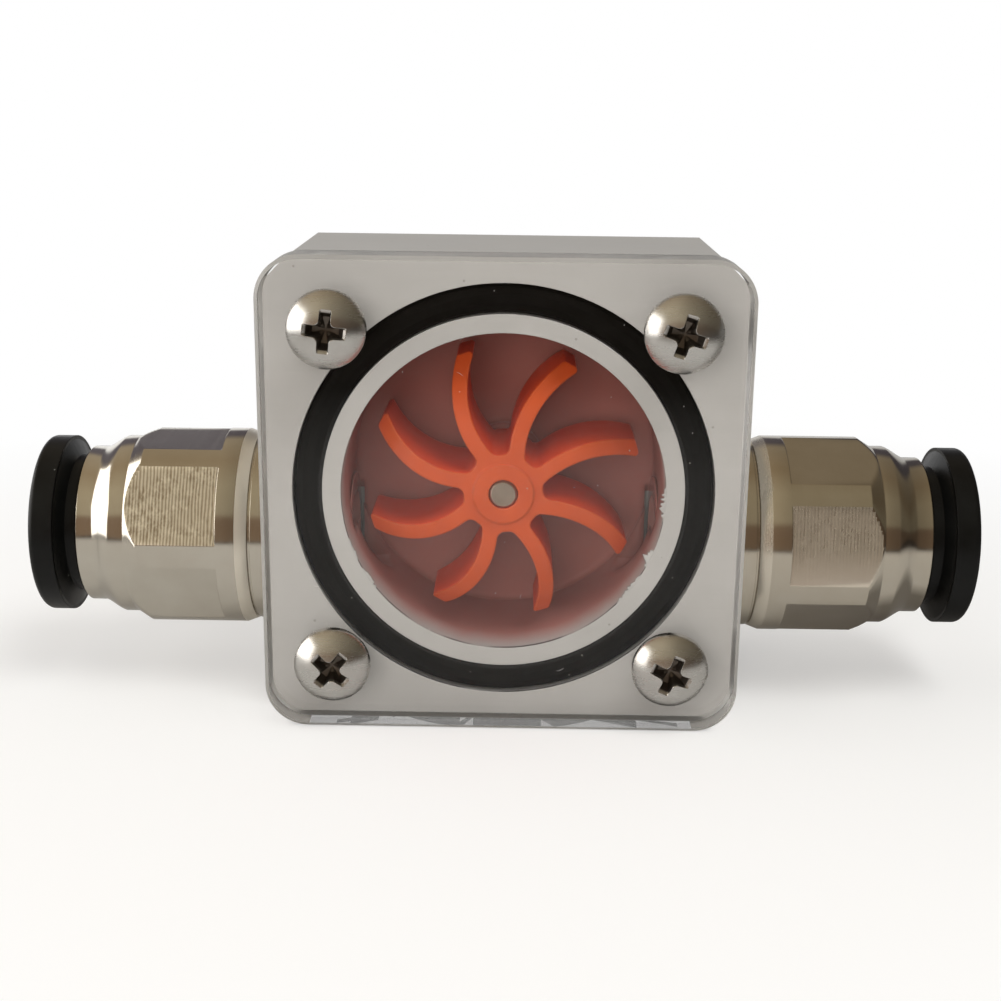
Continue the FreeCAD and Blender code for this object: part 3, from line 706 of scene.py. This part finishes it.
def nickel_plate(name, tint_low, tint_high, flats_turn, scored_share, lower_flat_painted_light):
    """Nickel over turned brass: fine turned rings round X, a matt ridge beside the collar painted pale as
    painted light, smooth wrench flats, and cutter scores on the flat that faces the window side, with painted
    glints along them, faded and painted paler on its lower half by the share lower_flat_painted_light as a
    painted reflection. Rounded edges are tinted paler as a painted highlight. The water bore carries the same
    red-brown coat as the chamber walls."""
    material, graph, shader, _ = new_material(name)
    ridge_start, ridge_end, bore_radius, bore_start = 2.97 * mm, 4.22 * mm, 4.7 * mm, -7.9 * mm
    cloud = graph.group(mottle, Scale=180.0)["Mask"]
    rings = graph.group(tool_marks, Scale=(5200, 25, 25), Broken=0.3)["Mask"]
    cuts = graph.group(cutter_lines, Spacing=0.36 * mm, Waver=1.3)["Mask"]
    normal = graph.normal()
    axes = graph.xyz(graph.place())
    flat = flat_mask(graph, axes, normal, flats_turn)
    along = graph.math("SUBTRACT", graph.math("ABSOLUTE", axes["X"]), body_high.x)
    ridge = graph.math("MULTIPLY", graph.math("GREATER_THAN", along, ridge_start),
                       graph.math("LESS_THAN", along, ridge_end))
    bore = graph.math("MAXIMUM", graph.math("LESS_THAN", graph.from_ports(axes), bore_radius),
                      graph.math("LESS_THAN", along, bore_start))
    # Painted reflection: below the port's axis the scores fade and the flat is painted paler.
    below = graph.remap(graph.math("SUBTRACT", axes["Z"], port_z), -2.5 * mm, 1.2 * mm, lower_flat_painted_light, 0.1 * lower_flat_painted_light)
    cuts = graph.blend(below, cuts, 0.75)
    soft = graph.group(rounded_edge, Radius=0.18 * mm)
    base = graph.mix(cloud, tint_low, tint_high)
    # Painted highlight: rounded edges are tinted paler.
    base = graph.tint(base, soft["Edge"], 0.35, colour(225, 215, 198))
    # Cutter scores as pale and dark stripes: real marks, with painted glints and shade along them.
    scores_and_painted_glints = graph.mix(cuts, colour(146, 130, 106), colour(226, 215, 192))
    base = graph.tint(base, flat, scored_share, scores_and_painted_glints)
    # Painted light: the matt ridge is tinted pale where it would catch the window light.
    ridge_painted_light = graph.math("MULTIPLY", ridge, scored_share)
    base = graph.tint(base, ridge_painted_light, 0.8, colour(226, 218, 202))
    base = graph.tint(base, graph.math("MULTIPLY", flat, below), 0.7, colour(240, 228, 212))
    # The water bore takes the walls' coat tone, with its painted light.
    graph.set(shader, "Base Color", graph.mix(bore, base, coat_painted_light_on_walls))
    matt = graph.math("MAXIMUM", graph.math("MULTIPLY", flat, scored_share), ridge_painted_light)
    graph.set(shader, "Metallic", graph.blend(bore, graph.blend(matt, 1.0, 0.7), 0.0))
    smooth = graph.remap(rings, 0, 1, 0.10, 0.17)
    graph.set(shader, "Roughness", graph.blend(matt, smooth, graph.remap(cuts, 0, 1, 0.38, 0.30)))
    height = graph.blend(graph.math("MULTIPLY", flat, scored_share),
                         graph.math("MULTIPLY", rings, 0.12), cuts)
    graph.set(shader, "Normal", bump(graph, height, 0.03 * mm, soft["Normal"], 0.6))
    return material


def steel(name, low, high, rough_low, rough_high, scale, radius):
    """Bright steel with fine cutter lines and paler rounded edges, a painted highlight."""
    material, graph, shader, _ = new_material(name)
    cloud = graph.group(mottle, Scale=500.0)["Mask"]
    lines = graph.group(tool_marks, Scale=scale, Broken=0.7)["Mask"]
    soft = graph.group(rounded_edge, Radius=radius)
    base = graph.mix(cloud, low, high)
    # Painted highlight: rounded edges are tinted pale.
    graph.set(shader, "Base Color", graph.tint(base, soft["Edge"], 0.6, colour(244, 238, 228)))
    graph.set(shader, "Metallic", 1.0)
    graph.set(shader, "Roughness", graph.remap(lines, 0, 1, rough_low, rough_high))
    graph.set(shader, "Normal", bump(graph, lines, 0.004 * mm, soft["Normal"], 0.4))
    return material


def screw_finish():
    """Tumbled stainless steel: satin, with fine level lines over the heads and painted shade in the cross
    recesses.
    The painted shade grows with the depth below the dome, whose fall is the square of the distance from the
    screw's axis over twice the dome's radius."""
    material, graph, shader, _ = new_material("stainless_steel")
    recess_reach, shade_start, shade_full = 2.4 * mm, 0.1 * mm, 0.6 * mm
    cloud = graph.group(mottle, Scale=500.0)["Mask"]
    lines = graph.group(tool_marks, Scale=(160, 160, 1700), Broken=0.5)["Mask"]
    axes = graph.xyz(graph.place())
    across = graph.math("SUBTRACT", graph.math("ABSOLUTE", axes["X"]), screw_reach)
    from_middle = graph.math("ABSOLUTE", graph.math("SUBTRACT", axes["Z"], wheel_z))
    up = graph.math("SUBTRACT", from_middle, screw_reach)
    square = graph.math("ADD", graph.math("MULTIPLY", across, across), graph.math("MULTIPLY", up, up))
    fall = graph.math("DIVIDE", square, 2 * dome_radius)
    from_top = graph.math("SUBTRACT", axes["Y"], plate_low.y - head_height)
    below = graph.math("SUBTRACT", from_top, fall)
    near = graph.math("LESS_THAN", square, recess_reach ** 2)
    # Painted shade: the recess darkens with depth below the dome.
    recess_painted_shade = graph.math("MULTIPLY", near, graph.remap(below, shade_start, shade_full, 0.0, 0.85))
    metal = graph.mix(cloud, colour(211, 209, 205), colour(200, 197, 192))
    graph.set(shader, "Base Color", graph.mix(recess_painted_shade, metal, colour(104, 93, 82)))
    graph.set(shader, "Metallic", 1.0)
    satin = graph.remap(lines, 0, 1, 0.24, 0.3)
    graph.set(shader, "Roughness", graph.blend(recess_painted_shade, satin, 0.5))
    soft = graph.group(rounded_edge, Radius=0.06 * mm)
    graph.set(shader, "Normal", bump(graph, lines, 0.001 * mm, soft["Normal"], 0.06))
    return material


def moulded(name, low, high, rough_low, rough_high, grain_scale):
    """Plain moulded plastic with a fine grain and a little dust."""
    material, graph, shader, _ = new_material(name)
    cloud = graph.group(mottle, Scale=320.0)["Mask"]
    dust = graph.group(specks, Scale=1100.0, Size=0.13, Share=0.03)["Mask"]
    soft = graph.group(rounded_edge, Radius=0.15 * mm)
    base = graph.mix(cloud, low, high)
    graph.set(shader, "Base Color", graph.tint(base, dust, 0.4, colour(150, 148, 142)))
    graph.set(shader, "Roughness", graph.remap(cloud, 0, 1, rough_low, rough_high))
    graph.set(shader, "Specular IOR Level", 0.2)
    grain = graph.noise(graph.place(), grain_scale, 2.0)
    graph.set(shader, "Normal", bump(graph, grain, 0.004 * mm, soft["Normal"]))
    return material


white = white_plastic()
clear = clear_acrylic()
rubber = black_rubber()
orange = orange_plastic()
warm_nickel = nickel_plate("nickel_inlet", colour(210, 204, 192), colour(202, 195, 182),
                           inlet_flats_turn, scored_share=1.0, lower_flat_painted_light=0.0)
brown_nickel = nickel_plate("nickel_outlet", colour(206, 198, 184), colour(198, 189, 173),
                            outlet_flats_turn, scored_share=0.6, lower_flat_painted_light=0.9)
screw_steel = screw_finish()
ring_steel = steel("ring_steel", colour(190, 186, 178), colour(174, 170, 162), 0.2, 0.32,
                   scale=(2500, 60, 60), radius=0.05 * mm)
pin_steel = steel("ground_steel", colour(208, 193, 177), colour(190, 174, 158), 0.35, 0.55,
                  scale=(900, 900, 900), radius=0.1 * mm)
sleeve_plastic = moulded("black_plastic", colour(10, 10, 9), colour(16, 16, 15), 0.3, 0.42,
                         grain_scale=7000.0)
washer_plastic = moulded("washer_plastic", colour(214, 212, 204), colour(204, 201, 192), 0.4, 0.5,
                         grain_scale=6000.0)

finishes = {
    "body": white, "cover_plate": clear, "cover_seal": rubber, "cover_screws": screw_steel,
    "impeller": orange, "impeller_shaft": pin_steel, "thrust_washer": washer_plastic,
}
for side, nickel in (("inlet", warm_nickel), ("outlet", brown_nickel)):
    finishes.update({
        side + "_fitting_body": nickel, side + "_port_seal": rubber, side + "_guide_ring": nickel,
        side + "_grab_ring": ring_steel, side + "_backing_ring": washer_plastic, side + "_tube_seal": rubber,
        side + "_release_sleeve": sleeve_plastic,
    })
for name, node in nodes.items():
    node.data.materials.clear()
    node.data.materials.append(finishes[name])

window_plate().data.materials.append(clear)
cover_screws().data.materials.append(screw_steel)
fitting_body(-1, inlet_flats_turn).data.materials.append(warm_nickel)
fitting_body(1, outlet_flats_turn).data.materials.append(brown_nickel)
lip_burrs().data.materials.append(white)
grains = window_dust()
dust_plastic = moulded("dust", colour(226, 222, 216), colour(204, 200, 195), 0.6, 0.8, grain_scale=7000.0)
grains.data.materials.append(dust_plastic)


# ---------------------------------------------------------------- floor, light and camera

def straight_view(graph, path):
    """1 for a ray that comes from the camera, straight or through clear pieces only."""
    bounces = graph.math("ADD", path.outputs["Diffuse Depth"], path.outputs["Glossy Depth"])
    through = graph.math("MULTIPLY", path.outputs["Is Transmission Ray"],
                         graph.math("LESS_THAN", bounces, 0.5))
    return graph.math("MAXIMUM", path.outputs["Is Camera Ray"], through)


def mirrored_view(graph, path):
    """1 for a ray that a glossy surface sends on to the camera."""
    glossy = graph.math("GREATER_THAN", path.outputs["Glossy Depth"], 0.5)
    return graph.math("MULTIPLY", glossy, graph.math("LESS_THAN", path.outputs["Diffuse Depth"], 0.5))


def make_floor():
    """A round pale table top. The camera sees it brightened by a glow and fading to the white round it. In
    reflections its rim falls into shade, and so does its right side under the outlet fitting and behind
    it."""
    rings, spokes, reach = 24, 96, 210 * mm
    radius = np.linspace(0.02, 1, rings)[:, None] * reach
    angle = np.linspace(0, full_turn, spokes, endpoint=False)[None, :]
    points = np.stack([radius * np.cos(angle), radius * np.sin(angle), 0 * radius * angle], -1).reshape(-1, 3)
    mesh = bpy.data.meshes.new("floor")
    quads = grid_faces(rings, spokes, close_columns=True)
    mesh.from_pydata(points.tolist(), [], quads.tolist() + [list(range(spokes))])
    floor = bpy.data.objects.new("floor", mesh)
    bpy.context.scene.collection.objects.link(floor)
    material, graph, shader, output = new_material("table_top")
    graph.set(shader, "Base Color", (0.62, 0.6, 0.575, 1))
    graph.set(shader, "Roughness", 0.9)
    graph.set(shader, "Specular IOR Level", 0.1)
    axes = graph.xyz(graph.place())
    radius = graph.length(axes["X"], axes["Y"])
    far = graph.remap(radius, 60 * mm, 150 * mm)
    path = graph.add("LightPath")
    seen = straight_view(graph, path)
    glow = graph.add("Emission", Color=(1, 1, 1, 1), Strength=0.38)
    added = graph.add("AddShader", _0=shader.outputs[0], _1=glow.outputs[0])
    dark = graph.add("Emission", Color=(0.07, 0.06, 0.05, 1), Strength=1.0)
    shade = graph.math("MULTIPLY", graph.remap(axes["X"], 28 * mm, 46 * mm, 0.0, 0.72),
                       graph.remap(axes["Y"], -11 * mm, -4 * mm))
    rim = graph.math("MAXIMUM", graph.remap(radius, 120 * mm, 200 * mm), shade)
    rim = graph.math("MULTIPLY", rim, mirrored_view(graph, path))
    shaded = graph.add("MixShader", _0=rim, _1=shader.outputs[0], _2=dark.outputs[0])
    near_mix = graph.add("MixShader", _0=seen, _1=shaded.outputs[0], _2=added.outputs[0])
    whiteness = graph.add("Emission", Color=(1, 1, 1, 1), Strength=1.0)
    far_share = graph.math("MULTIPLY", far, seen)
    far_mix = graph.add("MixShader", _0=far_share, _1=near_mix.outputs[0], _2=whiteness.outputs[0])
    graph.set(output, "Surface", far_mix.outputs[0])
    mesh.materials.append(material)


def make_world():
    """White for the camera. An even light for matt surfaces. In reflections, a room whose tone follows the
    angle round the X axis, and which is brighter to the left than to the right."""
    world = bpy.data.worlds.new("studio")
    bpy.context.scene.world = world
    world.use_nodes = True
    tree = world.node_tree
    tree.nodes.clear()
    graph = Graph(tree)
    axes = graph.xyz(graph.add("TexCoord").outputs["Generated"])
    angle = graph.math("ARCTAN2", axes["Z"], graph.math("MULTIPLY", axes["Y"], -1))
    share = graph.math("DIVIDE", graph.math("ADD", angle, math.pi), full_turn)
    ramp = graph.add("ValToRGB", _0=share)
    # Degrees up from the level front, over the top to the back, and the tone there.
    stops = [
        (-180, (0.8, 0.8, 0.8)), (-150, (0.5, 0.48, 0.45)), (-60, (0.08, 0.07, 0.06)),
        (-7, (0.09, 0.07, 0.055)), (-3, (0.205, 0.145, 0.1)), (22, (0.205, 0.145, 0.1)),
        (28, (0.36, 0.31, 0.225)), (62, (0.38, 0.325, 0.23)), (95, (0.3, 0.235, 0.155)),
        (135, (0.32, 0.27, 0.2)), (146, (0.11, 0.1, 0.115)), (162, (0.11, 0.1, 0.115)),
        (170, (0.8, 0.8, 0.8)),
    ]
    elements = ramp.color_ramp.elements
    while len(elements) < len(stops):
        elements.new(0.5)
    for element, (degrees, tone) in zip(elements, stops):
        element.position = (degrees + 180) / 360
        element.color = (*tone, 1)
    path = graph.add("LightPath")
    light = graph.add("Background", Color=(1.0, 0.985, 0.96, 1), Strength=0.4)
    sideways = graph.remap(axes["X"], -0.35, 0.35, 1.35, 0.7)
    sideways = graph.math("MULTIPLY", sideways, graph.remap(axes["X"], 0.35, 0.9, 1.0, 0.5))
    room = graph.add("Background", Color=ramp.outputs[0], Strength=sideways)
    white_view = graph.add("Background", Color=(1, 1, 1, 1), Strength=1.0)
    glossy = graph.add("MixShader", _0=mirrored_view(graph, path), _1=light.outputs[0], _2=room.outputs[0])
    seen = straight_view(graph, path)
    final = graph.add("MixShader", _0=seen, _1=glossy.outputs[0], _2=white_view.outputs[0])
    output = graph.add("OutputWorld")
    graph.set(output, "Surface", final.outputs[0])


def aim(thing, target):
    """Turns a thing so that its own -Z axis points at the target."""
    direction = np.array(target) - np.array(thing.location)
    flat = math.hypot(direction[0], direction[1])
    thing.rotation_euler = (math.atan2(flat, -direction[2]), 0, math.atan2(-direction[0], direction[1]))


def make_lamp(name, place, size, power, tint, mirrored):
    """A square-cornered lamp aimed at the wheel, seen in reflections only if mirrored."""
    lamp = bpy.data.lights.new(name, "AREA")
    lamp.shape = "RECTANGLE"
    lamp.size, lamp.size_y = size
    lamp.energy = power
    lamp.color = tint
    holder = bpy.data.objects.new(name, lamp)
    bpy.context.scene.collection.objects.link(holder)
    holder.location = place
    aim(holder, (0, 0, wheel_z))
    holder.visible_glossy = mirrored
    holder.visible_transmission = mirrored


def make_camera():
    """A camera before and above the part, a little to its right, looking slightly down."""
    data = bpy.data.cameras.new("camera")
    data.sensor_width = 36
    data.lens = 54.43
    data.clip_start, data.clip_end = 0.01, 10
    camera = bpy.data.objects.new("camera", data)
    bpy.context.scene.collection.objects.link(camera)
    camera.location = (1.3 * mm, -162.35 * mm, 66.44 * mm)
    camera.rotation_euler = [math.radians(a) for a in (74.587, -0.676, 0.781)]
    bpy.context.scene.camera = camera


make_floor()
make_world()
make_lamp("window_light", (-0.46, -0.03, 0.13), (0.55, 0.34), 1.5, (1.0, 0.99, 0.97), mirrored=True)
make_lamp("front_light", (-0.1, -0.6, 0.14), (0.35, 0.35), 1.7, (1.0, 0.975, 0.955), mirrored=False)
make_lamp("ceiling_light", (0.18, -0.22, 0.5), (0.3, 0.3), 1.35, (0.95, 0.985, 1.0), mirrored=False)
make_camera()

bpy.context.scene.view_settings.view_transform = "Standard"
